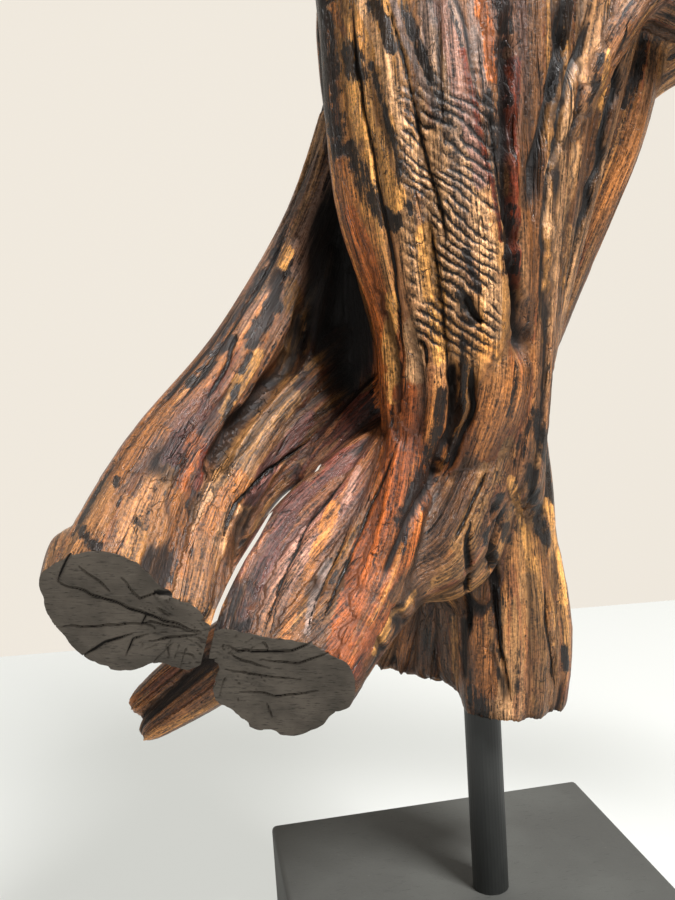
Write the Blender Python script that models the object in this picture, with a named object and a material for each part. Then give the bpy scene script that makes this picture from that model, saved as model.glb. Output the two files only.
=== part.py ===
"""A horse's head of driftwood on a steel rod, in a painted wooden block.

Metres, +Z up. The origin is at the centre of the block's underside. The horse faces +X.
The wood is one piece of root: its fibres run in ropy strands from the sawn and broken roots,
through the waist, and fan out into the mane and the carved head.
"""

import math

import bmesh
import bpy
from mathutils import Matrix, Vector

# The block and the rod
BLOCK_WIDTH = 0.200
BLOCK_HEIGHT = 0.060
BLOCK_EDGE = 0.0025
ROD_DIAMETER = 0.019
ROD_OFF_CENTRE = 0.008
ROD_SIDES = 32
ROD_SHOWN = 0.100
ROD_IN_BLOCK = 0.040
ROD_IN_WOOD = 0.080
FIT_GAP = 0.0003

# The wood, drawn in millimetres at its own height, from the rod's axis and the block's top
WOOD_HEIGHT = 0.605
DRAWN_HEIGHT = 605
DRAWN_ROD_SHOWN = 100
WOOD_TURN = math.radians(-9.5)
GRAIN_CELL = 3.6
STRAND_SIDES = 12
WOOD_FACES = 9000

WOOD_COLOUR = (0.33, 0.17, 0.075, 1)
STEEL_COLOUR = (0.03, 0.03, 0.032, 1)
PAINT_COLOUR = (0.05, 0.05, 0.048, 1)

# Guide strands of the wood, each from its crown end down: (right, away, up, radius)
GUIDES = {
    "trunk_core": [
        (74, 0, 568, 40), (28, 0, 495, 50), (20, 0, 426, 50), (3, 0, 311, 36), (-2, 0, 261, 30),
        (-2, 0, 178, 26),
    ],
    "left_rim": [
        (65, 0, 582, 13), (-4, -8, 553, 16), (-44, -16, 497, 15), (-49, -25, 428, 13),
        (-48, -34, 358, 12), (-35, -40, 303, 11), (-35, -38, 256, 10),
    ],
    "rippled_face": [
        (44, -38, 517, 12), (0, -48, 492, 15), (-7, -48, 452, 16), (-6, -52, 387, 20),
        (-4, -48, 323, 23), (-5, -42, 270, 17), (-14, -38, 245, 15),
    ],
    "brown_rib": [
        (78, -38, 482, 8), (48, -42, 463, 10), (41, -42, 442, 11), (37, -41, 385, 11),
        (31, -37, 321, 9), (25, -33, 260, 9), (20, -32, 223, 9),
    ],
    "right_edge": [
        (96, 4, 469, 16), (88, 2, 420, 15), (80, 2, 385, 13), (61, 6, 340, 12), (45, 9, 300, 10),
        (29, 8, 259, 9), (26, 2, 207, 11),
    ],
    "left_side": [
        (-14, 8, 540, 16), (-49, -2, 460, 13), (-43, -8, 360, 14), (-31, -16, 285, 12),
        (-30, -18, 250, 12),
    ],
    "throat": [(56, 14, 394, 20), (102, 12, 427, 19), (144, 4, 438, 20)],
    "throat_sinew": [(115, -22, 471, 9), (76, -35, 432, 8), (40, -42, 374, 5)],
    "knob": [(8, -40, 309, 13), (3, -42, 270, 19), (-8, -34, 233, 14)],
    "left_limb": [
        (-47, 24, 422, 12), (-72, 14, 357, 13), (-109, -14, 293, 16), (-146, -48, 243, 21),
        (-165, -88, 197, 27), (-169, -112, 176, 28),
    ],
    "left_under": [(-130, -12, 262, 15), (-163, -52, 200, 20), (-168, -104, 164, 16)],
    "left_toe": [(-183, -80, 213, 10), (-183, -108, 188, 12)],
    "web_top": [(-56, 12, 298, 9), (-98, -16, 262, 11), (-126, -52, 222, 13), (-136, -88, 186, 14)],
    "web_edge": [(-59, 4, 252, 9), (-103, -22, 227, 9), (-130, -56, 193, 11), (-139, -86, 169, 11)],
    "web_back": [(-30, 20, 299, 14), (-93, 6, 246, 13), (-138, -52, 199, 18), (-148, -80, 184, 20)],
    "crease": [(-68, 10, 336, 9), (-88, -2, 282, 10), (-116, -20, 249, 10)],
    "cavity_wall": [(-46, 22, 420, 12), (-55, 26, 352, 18), (-61, 18, 274, 18), (-82, 4, 220, 10)],
    "cavity_edge": [(-44, 14, 325, 14), (-48, 4, 259, 15), (-76, -12, 222, 9)],
    "slit_bridge": [(-42, -10, 264, 11), (-71, -14, 239, 9), (-82, -18, 230, 6)],
    "middle_core": [(-6, -8, 247, 25), (-44, -38, 195, 25), (-96, -84, 152, 25), (-108, -108, 138, 25)],
    "slit_side": [(-40, -25, 248, 8), (-64, -34, 235, 9), (-103, -58, 201, 10), (-119, -104, 160, 10)],
    "red_side": [(-32, -42, 254, 10), (-49, -62, 196, 12), (-80, -92, 152, 11), (-88, -108, 142, 11)],
    "middle_under": [(-50, -20, 180, 16), (-93, -72, 140, 14), (-100, -104, 126, 12)],
    "flank": [(9, -32, 250, 12), (-18, -44, 201, 18), (-42, -52, 185, 15), (-80, -92, 144, 8)],
    "flank_lip": [
        (15, -26, 240, 9), (-2, -30, 192, 11), (-18, -36, 178, 9), (-41, -46, 175, 7),
        (-74, -86, 141, 5),
    ],
    "shard_long": [(-59, 4, 186, 13), (-129, 12, 127, 12), (-173, 15, 97, 7), (-180, 15, 91, 4)],
    "shard_short": [(-78, 14, 172, 12), (-152, 22, 128, 9), (-184, 24, 105, 6)],
    "leg_core": [(18, -6, 240, 20), (21, 2, 187, 21), (18, 0, 102, 17)],
    "leg_left": [(10, -10, 206, 10), (3, -10, 175, 11), (0, -6, 105, 11)],
    "leg_edge": [(27, 0, 232, 9), (32, 0, 190, 10), (38, 0, 140, 10), (35, 0, 101, 9)],
    "rod_wall": [(-4, 8, 195, 17), (-6, 9, 150, 15), (-8, 10, 118, 12)],
    "skirt_edge": [(-22, 30, 168, 11), (-48, 32, 134, 8), (-60, 32, 119, 4)],
}

# Ribs that run between two guides: their shares of the way across, and how proud they stand.
# The leg's back has the ribs of its front, flatter and moved back.
LEG_RIBS_PROUD = 9
LEG_BACK_OFFSET = 6
RIBS_BETWEEN = [
    ("left_rim", "rippled_face", (0.28, 0.54), 7),
    ("rippled_face", "brown_rib", (0.37, 0.78), 3),
    ("brown_rib", "right_edge", (0.33, 0.66), 8),
    ("web_top", "web_edge", (0.5,), 3),
    ("slit_side", "red_side", (0.34, 0.67), 2),
    ("leg_left", "leg_edge", (0.35, 0.68), LEG_RIBS_PROUD),
    ("rod_wall", "skirt_edge", (0.3, 0.55, 0.78), 0),
]

# The trunk's outline at each height, for the ribs of its back: (up, left, right, away)
TRUNK_OUTLINE = [
    (215, -30, 34, 22), (240, -40, 34, 28), (270, -40, 42, 34), (300, -41, 51, 39),
    (345, -52, 74, 46), (400, -62, 98, 52), (460, -62, 104, 52), (510, -50, 100, 46),
    (550, -22, 96, 38), (582, 12, 92, 24),
]
BACK_RIBS = 8
BACK_RIB_THICKNESS = 3.5

# The head, from the poll along the face: (along, out towards the forehead, aside, radius)
POLL = Vector((97, 0, 598))
HEAD_DROP = math.radians(50)
HEAD_CORE = [
    (-4, -36, 0, 30), (24, -40, 0, 39), (60, -44, 0, 43), (100, -42, 0, 39), (150, -32, 0, 31),
    (200, -22, 0, 25), (250, -17, 0, 22), (292, -16, 0, 21), (316, -16, 0, 17),
]
NASAL_RIDGE = [
    (-14, -2, 0, 15), (25, 9, 0, 18), (75, 9, 0, 15), (130, 4, 0, 13), (190, 3, 0, 11),
    (245, 1, 0, 10), (290, -1, 0, 9), (312, -8, 0, 8),
]
CHIN = [(200, -40, 0, 14), (250, -47, 0, 11), (282, -49, 0, 11), (302, -46, 0, 8)]
MANE = [
    [(-30, 0, 520, 17), (-14, 0, 562, 18), (14, 0, 590, 17), (50, 0, 604, 15), (88, 0, 606, 13)],
    [(-46, -6, 500, 10), (-36, -14, 536, 10), (-8, -18, 566, 11), (34, -18, 588, 11), (84, -14, 600, 9)],
    [(-46, 8, 500, 10), (-36, 14, 536, 10), (-8, 18, 566, 11), (34, 18, 588, 11), (84, 14, 600, 9)],
    [(74, 0, 608, 9), (104, -3, 612, 10), (128, 2, 592, 9), (142, -2, 568, 4)],
]
HEAD_PAIRS = {
    "brow": [(8, 0, 20, 13), (40, -1, 29, 12), (64, -3, 35, 9), (84, -10, 37, 6)],
    "temple": [(40, -22, 24, 22), (80, -22, 22, 21), (120, -20, 17, 19), (170, -16, 11, 15)],
    "cheek": [(48, -56, 22, 25), (82, -64, 24, 27), (112, -62, 20, 23), (150, -48, 14, 18)],
    "cheek_ridge": [(84, -26, 35, 8), (115, -22, 32, 8), (160, -15, 25, 8), (215, -11, 19, 7)],
    "jowl": [
        (18, -70, 22, 16), (50, -96, 23, 15), (90, -106, 23, 14), (128, -94, 19, 13),
        (165, -72, 16, 12), (205, -54, 12, 11), (250, -45, 8, 9),
    ],
    "jaw": [(56, -82, 13, 22), (95, -84, 13, 22), (130, -74, 11, 20), (170, -54, 8, 17)],
    "eye": [(58, -14, 35, 9), (68, -16, 37, 10), (78, -20, 35, 8)],
    "muzzle": [(225, -13, 12, 13), (268, -11, 17, 14), (300, -14, 17, 13), (318, -19, 12, 10)],
    "nostril_rim": [(282, 1, 20, 7), (300, 0, 24, 6), (314, -8, 23, 6), (316, -19, 18, 6)],
    "ear": [(2, 6, 20, 13), (-20, 28, 27, 14), (-42, 48, 31, 10), (-62, 63, 31, 3)],
}
NOSTRIL = [(292, -3, 34, 6), (304, -7, 29, 6), (312, -12, 30, 5)]
MOUTH = (262, 335, -33, 4)

# The see-through slit between the two roots: (right, away, up, half width), and the line of sight
ROOT_SLIT = [
    (-100, -40, 217, 1.0), (-108, -40, 205, 1.9), (-116, -40, 194, 2.0), (-122, -40, 184, 1.8),
    (-128, -40, 173, 1.0),
]
SLIT_SEEN_FROM = Vector((-67, -481, 293))

# Where the two roots are sawn off, and where the leg is
SAW_POINT = Vector((-128, -91, 171))
SAW_NORMAL = Vector((-0.15, -0.90, -0.40)).normalized()
LEG_SAW_POINT = Vector((30, 0, 98))
LEG_SAW_TILT = math.radians(4)
LEG_SAW_SIZE = 80


def clear_scene():
    for obj in list(bpy.data.objects):
        bpy.data.objects.remove(obj)


def linked(name, mesh):
    obj = bpy.data.objects.new(name, mesh)
    bpy.context.scene.collection.objects.link(obj)
    return obj


def object_from(name, bm):
    mesh = bpy.data.meshes.new(name)
    bm.to_mesh(mesh)
    bm.free()
    return linked(name, mesh)


def finish(obj, colour, roughness, metallic=0.0):
    material = bpy.data.materials.new(obj.name)
    material.use_nodes = True
    shader = material.node_tree.nodes["Principled BSDF"]
    shader.inputs["Base Color"].default_value = colour
    shader.inputs["Roughness"].default_value = roughness
    shader.inputs["Metallic"].default_value = metallic
    obj.data.materials.append(material)


def read_strand(points, share):
    """The strand's point and radius at a share of its length, on a smooth curve."""
    place = share * (len(points) - 1)
    start = min(int(place), len(points) - 2)
    t = place - start
    a, b, c, d = (points[max(0, min(start + k, len(points) - 1))] for k in (-1, 0, 1, 2))
    return [
        0.5 * (2 * q + (r - p) * t + (2 * p - 5 * q + 4 * r - u) * t * t
               + (3 * q - p - 3 * r + u) * t * t * t)
        for p, q, r, u in zip(a, b, c, d)
    ]


def between(one, other, share, proud, steps=8):
    """A rib a share of the way from one guide to the other, standing proud of the two."""
    rib = []
    for step in range(steps):
        here, there = (read_strand(guide, step / (steps - 1)) for guide in (one, other))
        x, y, z, radius = (h + (t - h) * share for h, t in zip(here, there))
        rib.append((x, y - proud * 4 * share * (1 - share), z, radius * 0.9))
    return rib


def add_strand(bm, points):
    """A round tapering tube along the points, closed with rounded ends."""
    steps = 3 * (len(points) - 1)
    route = [read_strand(points, step / steps) for step in range(steps + 1)]
    route = [(Vector(point[:3]), point[3]) for point in route]
    rings = []
    side = Vector((0, 1, 0))
    for i, (centre, radius) in enumerate(route):
        along = (route[min(i + 1, len(route) - 1)][0] - route[max(i - 1, 0)][0]).normalized()
        side = (side - along * side.dot(along)).normalized()
        across = along.cross(side)
        shrink = [(0, 1)]
        if i == 0:
            shrink = [(-0.85, 0.45), (-0.5, 0.85), (0, 1)]
        elif i == len(route) - 1:
            shrink = [(0, 1), (0.5, 0.85), (0.85, 0.45)]
        for ahead, share in shrink:
            rings.append([
                bm.verts.new(
                    centre + along * radius * ahead
                    + (side * math.cos(turn) + across * math.sin(turn)) * radius * share
                )
                for turn in (math.tau * k / STRAND_SIDES for k in range(STRAND_SIDES))
            ])
    for ring, following in zip(rings, rings[1:]):
        for k in range(STRAND_SIDES):
            j = (k + 1) % STRAND_SIDES
            bm.faces.new((ring[k], ring[j], following[j], following[k]))
    bm.faces.new(reversed(rings[0]))
    bm.faces.new(rings[-1])


def back_ribs():
    """Ribs down the back of the trunk, which the front strands don't reach."""
    for rib in range(BACK_RIBS):
        share = -0.84 + 1.68 * rib / (BACK_RIBS - 1)
        swell = 1.5 * math.sin(2.4 * rib)
        yield [
            (
                (left + right) / 2 + share * (right - left) * 0.43 + 3 * math.sin(up / 40 + rib),
                away * math.sqrt(1 - 0.8 * share * share),
                up,
                (right - left) / 12 + BACK_RIB_THICKNESS + swell,
            )
            for up, left, right, away in TRUNK_OUTLINE
        ]


def ribs_around(core, turns, lift=0.72, share=0.42):
    """Ribs along the unseen sides of a root, each a share of the root's own thickness."""
    for turn in turns:
        rib = []
        for i, (x, y, z, radius) in enumerate(core):
            ahead = Vector(core[min(i + 1, len(core) - 1)][:3])
            along = (ahead - Vector(core[max(i - 1, 0)][:3])).normalized()
            side = (Vector((0, 1, 0)) - along * along.y).normalized()
            out = side * math.cos(turn + 0.12 * i) + along.cross(side) * math.sin(turn + 0.12 * i)
            rib.append((*(Vector((x, y, z)) + out * radius * lift), radius * share))
        yield rib


def on_head(along, out, aside):
    face = Vector((math.cos(HEAD_DROP), 0, -math.sin(HEAD_DROP)))
    forehead = Vector((math.sin(HEAD_DROP), 0, math.cos(HEAD_DROP)))
    return POLL + face * along + forehead * out + Vector((0, aside, 0))


def head_strand(points, side=1):
    return [(*on_head(a, n, y * side), radius) for a, n, y, radius in points]


def wood_strands():
    yield from GUIDES.values()
    for one, other, shares, proud in RIBS_BETWEEN:
        for share in shares:
            yield between(GUIDES[one], GUIDES[other], share, proud)
    yield from back_ribs()
    yield from ribs_around(GUIDES["left_limb"], (0.2, 1.1, -0.8))
    yield from ribs_around(GUIDES["middle_core"], (0.0, 0.9, -0.9))
    for share in (0, 0.35, 0.68):
        front = between(GUIDES["leg_left"], GUIDES["leg_edge"], share, LEG_RIBS_PROUD, steps=4)
        yield [(x, LEG_BACK_OFFSET - 0.7 * y, z, radius) for x, y, z, radius in front]
    yield from MANE
    for points in (HEAD_CORE, NASAL_RIDGE, CHIN):
        yield head_strand(points)
    for points in HEAD_PAIRS.values():
        for side in (-1, 1):
            yield head_strand(points, side)


def cutter(name, bm, matrix):
    obj = object_from(name, bm)
    obj.matrix_world = matrix
    obj.hide_render = True
    obj.display_type = "WIRE"
    return obj


def cut(obj, tool):
    modifier = obj.modifiers.new(tool.name, "BOOLEAN")
    modifier.object = tool
    modifier.operation = "DIFFERENCE"


def cylinder(radius, bottom, top):
    bm = bmesh.new()
    place = Matrix.Translation((0, 0, (bottom + top) / 2))
    bmesh.ops.create_cone(
        bm, cap_ends=True, segments=ROD_SIDES, radius1=radius, radius2=radius,
        depth=top - bottom, matrix=place,
    )
    return bm


def saw_block(size, normal):
    """A block whose near face is the saw's cut, its outward side along the normal."""
    bm = bmesh.new()
    bmesh.ops.create_cube(bm, size=size, matrix=Matrix.Translation((0, 0, size / 2)))
    turn = normal.to_track_quat("Z", "Y").to_matrix()
    bmesh.ops.rotate(bm, cent=(0, 0, 0), matrix=turn, verts=bm.verts)
    return bm


def root_slit():
    """A blade through the slit, spreading away from where it's seen."""
    bm = bmesh.new()
    rings = []
    for reach in (0.88, 1.13):
        left = [Vector((x - half, y, z - half * 0.6)) for x, y, z, half in ROOT_SLIT]
        right = [Vector((x + half, y, z + half * 0.6)) for x, y, z, half in ROOT_SLIT]
        ring = [SLIT_SEEN_FROM.lerp(point, reach) for point in left + right[::-1]]
        rings.append([bm.verts.new(point) for point in ring])
    near, far = rings
    for k in range(len(near)):
        j = (k + 1) % len(near)
        bm.faces.new((near[k], near[j], far[j], far[k]))
    for k in range(len(ROOT_SLIT) - 1):
        j = len(near) - 1 - k
        bm.faces.new((near[k], near[k + 1], near[j - 1], near[j]))
        bm.faces.new((far[k], far[k + 1], far[j - 1], far[j]))
    bmesh.ops.recalc_face_normals(bm, faces=bm.faces)
    return bm


def nostrils():
    bm = bmesh.new()
    for side in (-1, 1):
        add_strand(bm, head_strand(NOSTRIL, side))
    return bm


def mouth():
    start, end, out, gap = MOUTH
    bm = bmesh.new()
    slab = Matrix.Diagonal((end - start, 80, gap, 1))
    bmesh.ops.create_cube(bm, size=1, matrix=slab)
    place = Matrix.Translation(on_head((start + end) / 2, out, 0)) @ Matrix.Rotation(HEAD_DROP, 4, "Y")
    bmesh.ops.transform(bm, matrix=place, verts=bm.verts)
    return bm


def make_wood():
    bm = bmesh.new()
    for points in wood_strands():
        add_strand(bm, points)
    scale = WOOD_HEIGHT / DRAWN_HEIGHT
    lift = ROD_SHOWN - DRAWN_ROD_SHOWN * scale
    place = (
        Matrix.Translation((ROD_OFF_CENTRE, 0, BLOCK_HEIGHT + lift))
        @ Matrix.Rotation(WOOD_TURN, 4, "Z")
        @ Matrix.Scale(scale, 4)
    )
    bmesh.ops.transform(bm, matrix=place, verts=bm.verts)
    wood = object_from("driftwood_horse", bm)
    remesh = wood.modifiers.new("fused strands", "REMESH")
    remesh.mode = "VOXEL"
    remesh.voxel_size = GRAIN_CELL * scale
    soften = wood.modifiers.new("worn by water", "SMOOTH")
    soften.factor = 0.5
    soften.iterations = 2
    bpy.context.view_layer.update()
    graph = bpy.context.evaluated_depsgraph_get()
    fused = bpy.data.meshes.new_from_object(wood.evaluated_get(graph))
    fused_triangles = sum(len(face.vertices) - 2 for face in fused.polygons)
    thin = wood.modifiers.new("facets", "DECIMATE")
    thin.ratio = WOOD_FACES / fused_triangles
    thin.use_collapse_triangulate = True

    root_saw = saw_block(DRAWN_HEIGHT / 2, SAW_NORMAL)
    cut(wood, cutter("root_saw", root_saw, place @ Matrix.Translation(SAW_POINT)))
    leg_normal = Vector((-math.sin(LEG_SAW_TILT), 0, -math.cos(LEG_SAW_TILT)))
    leg_saw = saw_block(LEG_SAW_SIZE, leg_normal)
    cut(wood, cutter("leg_saw", leg_saw, place @ Matrix.Translation(LEG_SAW_POINT)))
    cut(wood, cutter("root_slit", root_slit(), place))
    cut(wood, cutter("nostrils", nostrils(), place))
    cut(wood, cutter("mouth", mouth(), place))
    bore_top = BLOCK_HEIGHT + ROD_SHOWN + ROD_IN_WOOD + FIT_GAP
    bore = cylinder(ROD_DIAMETER / 2 + FIT_GAP, BLOCK_HEIGHT, bore_top)
    cut(wood, cutter("rod_bore", bore, Matrix.Translation((ROD_OFF_CENTRE, 0, 0))))
    finish(wood, WOOD_COLOUR, 0.45)
    return wood


def make_rod():
    bottom = BLOCK_HEIGHT - ROD_IN_BLOCK
    top = BLOCK_HEIGHT + ROD_SHOWN + ROD_IN_WOOD
    rod = object_from("rod", cylinder(ROD_DIAMETER / 2, bottom, top))
    rod.location.x = ROD_OFF_CENTRE
    rod.data.shade_smooth()
    rod.data.set_sharp_from_angle(angle=math.radians(40))
    finish(rod, STEEL_COLOUR, 0.4, 0.6)


def make_block():
    bm = bmesh.new()
    size = Matrix.Diagonal((BLOCK_WIDTH, BLOCK_WIDTH, BLOCK_HEIGHT, 1))
    bmesh.ops.create_cube(bm, size=1, matrix=Matrix.Translation((0, 0, BLOCK_HEIGHT / 2)) @ size)
    block = object_from("base_block", bm)
    worn = block.modifiers.new("worn edges", "BEVEL")
    worn.width = BLOCK_EDGE
    worn.segments = 2
    socket = cylinder(
        ROD_DIAMETER / 2 + FIT_GAP, BLOCK_HEIGHT - ROD_IN_BLOCK - FIT_GAP, BLOCK_HEIGHT * 1.5
    )
    cut(block, cutter("rod_socket", socket, Matrix.Translation((ROD_OFF_CENTRE, 0, 0))))
    finish(block, PAINT_COLOUR, 0.7)


clear_scene()
make_wood()
make_rod()
make_block()
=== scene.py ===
import math

import bmesh
import bpy
import numpy as np
from mathutils import Matrix, Vector, kdtree


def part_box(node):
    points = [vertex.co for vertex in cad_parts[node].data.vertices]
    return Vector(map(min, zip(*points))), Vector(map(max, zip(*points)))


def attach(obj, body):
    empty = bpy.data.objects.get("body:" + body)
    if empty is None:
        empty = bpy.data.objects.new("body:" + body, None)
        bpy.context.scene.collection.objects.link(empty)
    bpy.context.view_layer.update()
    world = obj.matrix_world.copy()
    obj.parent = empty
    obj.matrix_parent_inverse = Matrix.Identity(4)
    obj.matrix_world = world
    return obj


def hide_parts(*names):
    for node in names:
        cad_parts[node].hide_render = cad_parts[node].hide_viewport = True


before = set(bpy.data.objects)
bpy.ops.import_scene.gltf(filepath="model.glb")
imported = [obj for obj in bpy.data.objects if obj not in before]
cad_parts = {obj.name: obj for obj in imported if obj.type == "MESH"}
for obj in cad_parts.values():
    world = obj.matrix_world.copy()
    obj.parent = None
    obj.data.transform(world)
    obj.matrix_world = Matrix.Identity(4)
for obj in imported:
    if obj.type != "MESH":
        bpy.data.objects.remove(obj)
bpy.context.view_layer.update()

# The driftwood. One piece of twisted root, washed out to its ropy strands, charred in places and varnished.
# The strands run from the broken and sawn roots up through the waist into the neck, the mane and the head.
# They are drawn in millimetres from the rod's axis and the block's top, as (x, y, z, radius) from the crown
# down, and fused into one skin.

ROD_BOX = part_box("rod")
BLOCK_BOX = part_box("base_block")
WOOD_TURN = math.radians(-9.5)
FUSE_CELL, FUSE_ROUNDS = 2.3, 14
SKIN_CELL, SKIN_ROUNDS = 1.12, 2
PLUMP = 0.9
BLEND_WIDTH = 5.0
STEPS_BETWEEN = 5
GUIDES = {
    "trunk_core": [
        (74, 0, 568, 40), (28, 0, 495, 50), (20, 0, 426, 50), (3, 0, 311, 36), (-2, 0, 261, 30),
        (-2, 0, 178, 26),
    ],
    "left_rim": [
        (65, 0, 582, 13), (-4, -8, 553, 16), (-44, -16, 497, 15), (-49, -25, 428, 13),
        (-48, -34, 358, 12), (-35, -40, 303, 11), (-35, -38, 256, 10),
    ],
    "rippled_face": [
        (44, -38, 517, 12), (0, -48, 492, 15), (-7, -48, 452, 16), (-6, -52, 387, 20),
        (-4, -48, 323, 23), (-5, -42, 270, 17), (-14, -38, 245, 15),
    ],
    "brown_rib": [
        (78, -38, 482, 8), (48, -42, 463, 10), (41, -42, 442, 11), (37, -41, 385, 11),
        (31, -37, 321, 9), (25, -33, 260, 9), (20, -32, 223, 9),
    ],
    "right_edge": [
        (96, 4, 469, 16), (88, 2, 420, 15), (80, 2, 385, 13), (61, 6, 340, 12), (45, 9, 300, 10),
        (29, 8, 259, 9), (26, 2, 207, 11),
    ],
    "left_side": [
        (-14, 8, 540, 16), (-49, -2, 460, 13), (-43, -8, 360, 14), (-31, -16, 285, 12),
        (-30, -18, 250, 12),
    ],
    "throat": [(56, 14, 394, 20), (102, 12, 427, 19), (144, 4, 438, 20)],
    "throat_sinew": [(115, -22, 471, 9), (76, -35, 432, 8), (40, -42, 374, 5)],
    "knob": [(8, -40, 309, 13), (3, -42, 270, 19), (-8, -34, 233, 14)],
    "left_limb": [
        (-47, 24, 422, 12), (-72, 14, 357, 13), (-109, -14, 293, 16), (-146, -48, 243, 21),
        (-165, -88, 197, 27), (-169, -112, 176, 28),
    ],
    "left_under": [(-130, -12, 262, 15), (-163, -52, 200, 20), (-168, -104, 164, 16)],
    "left_toe": [(-183, -80, 213, 10), (-183, -108, 188, 12)],
    "web_top": [(-56, 12, 298, 9), (-98, -16, 262, 11), (-126, -52, 222, 13), (-136, -88, 186, 14)],
    "web_edge": [(-59, 4, 252, 9), (-103, -22, 227, 9), (-130, -56, 193, 11), (-139, -86, 169, 11)],
    "web_back": [(-30, 20, 299, 14), (-93, 6, 246, 13), (-138, -52, 199, 18), (-148, -80, 184, 20)],
    "crease": [(-68, 10, 336, 9), (-88, -2, 282, 10), (-116, -20, 249, 10)],
    "cavity_wall": [(-46, 22, 420, 12), (-55, 26, 352, 18), (-61, 18, 274, 18), (-82, 4, 220, 10)],
    "cavity_edge": [(-44, 14, 325, 14), (-48, 4, 259, 15), (-76, -12, 222, 9)],
    "slit_bridge": [(-42, -10, 264, 11), (-71, -14, 239, 9), (-82, -18, 230, 6)],
    "middle_core": [(-6, -8, 247, 25), (-44, -38, 195, 25), (-96, -84, 152, 25), (-108, -108, 138, 25)],
    "slit_side": [(-40, -25, 248, 8), (-64, -34, 235, 9), (-103, -58, 201, 10), (-119, -104, 160, 10)],
    "red_side": [(-32, -42, 254, 10), (-49, -62, 196, 12), (-80, -92, 152, 11), (-88, -108, 142, 11)],
    "middle_under": [(-50, -20, 180, 16), (-93, -72, 140, 14), (-100, -104, 126, 12)],
    "flank": [(9, -32, 250, 12), (-18, -44, 201, 18), (-42, -52, 185, 15), (-80, -92, 144, 8)],
    "flank_lip": [
        (15, -26, 240, 9), (-2, -30, 192, 11), (-18, -36, 178, 9), (-41, -46, 175, 7),
        (-74, -86, 141, 5),
    ],
    "shard_long": [(-59, 4, 186, 13), (-129, 12, 127, 12), (-173, 15, 97, 7), (-180, 15, 91, 4)],
    "shard_short": [(-78, 14, 172, 12), (-152, 22, 128, 9), (-184, 24, 105, 6)],
    "leg_core": [(18, -6, 240, 20), (21, 2, 187, 21), (18, 0, 102, 17)],
    "leg_left": [(10, -10, 206, 10), (3, -10, 175, 11), (0, -6, 105, 11)],
    "leg_edge": [(27, 0, 232, 9), (32, 0, 190, 10), (38, 0, 140, 10), (35, 0, 101, 9)],
    "rod_wall": [(-4, 8, 195, 17), (-6, 9, 150, 15), (-8, 10, 118, 12)],
    "skirt_edge": [(-22, 30, 168, 11), (-48, 32, 134, 8), (-60, 32, 119, 4)],
}
LEG_RIBS_PROUD, LEG_BACK_OFFSET = 9, 6
RIBS_BETWEEN = [
    ("left_rim", "rippled_face", (0.28, 0.54), 7),
    ("rippled_face", "brown_rib", (0.37, 0.78), 3),
    ("brown_rib", "right_edge", (0.33, 0.66), 8),
    ("web_top", "web_edge", (0.5,), 3),
    ("slit_side", "red_side", (0.34, 0.67), 2),
    ("leg_left", "leg_edge", (0.35, 0.68), LEG_RIBS_PROUD),
    ("rod_wall", "skirt_edge", (0.3, 0.55, 0.78), 0),
]
TRUNK_OUTLINE = [
    (215, -30, 34, 22), (240, -40, 34, 28), (270, -40, 42, 34), (300, -41, 51, 39),
    (345, -52, 74, 46), (400, -62, 98, 52), (460, -62, 104, 52), (510, -50, 100, 46),
    (550, -22, 96, 38), (582, 12, 92, 24),
]
BACK_RIBS, BACK_RIB_THICKNESS = 8, 3.5
POLL = Vector((97, 0, 598))
HEAD_DROP = math.radians(50)
HEAD_CORE = [
    (-4, -36, 0, 30), (24, -40, 0, 39), (60, -44, 0, 43), (100, -42, 0, 39), (150, -32, 0, 31),
    (200, -22, 0, 25), (250, -17, 0, 22), (292, -16, 0, 21), (316, -16, 0, 17),
]
NASAL_RIDGE = [
    (-14, -2, 0, 15), (25, 9, 0, 18), (75, 9, 0, 15), (130, 4, 0, 13), (190, 3, 0, 11),
    (245, 1, 0, 10), (290, -1, 0, 9), (312, -8, 0, 8),
]
CHIN = [(200, -40, 0, 14), (250, -47, 0, 11), (282, -49, 0, 11), (302, -46, 0, 8)]
MANE = [
    [(-30, 0, 520, 17), (-14, 0, 562, 18), (14, 0, 590, 17), (50, 0, 604, 15), (88, 0, 606, 13)],
    [(-46, -6, 500, 10), (-36, -14, 536, 10), (-8, -18, 566, 11), (34, -18, 588, 11), (84, -14, 600, 9)],
    [(-46, 8, 500, 10), (-36, 14, 536, 10), (-8, 18, 566, 11), (34, 18, 588, 11), (84, 14, 600, 9)],
    [(74, 0, 608, 9), (104, -3, 612, 10), (128, 2, 592, 9), (142, -2, 568, 4)],
]
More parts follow.
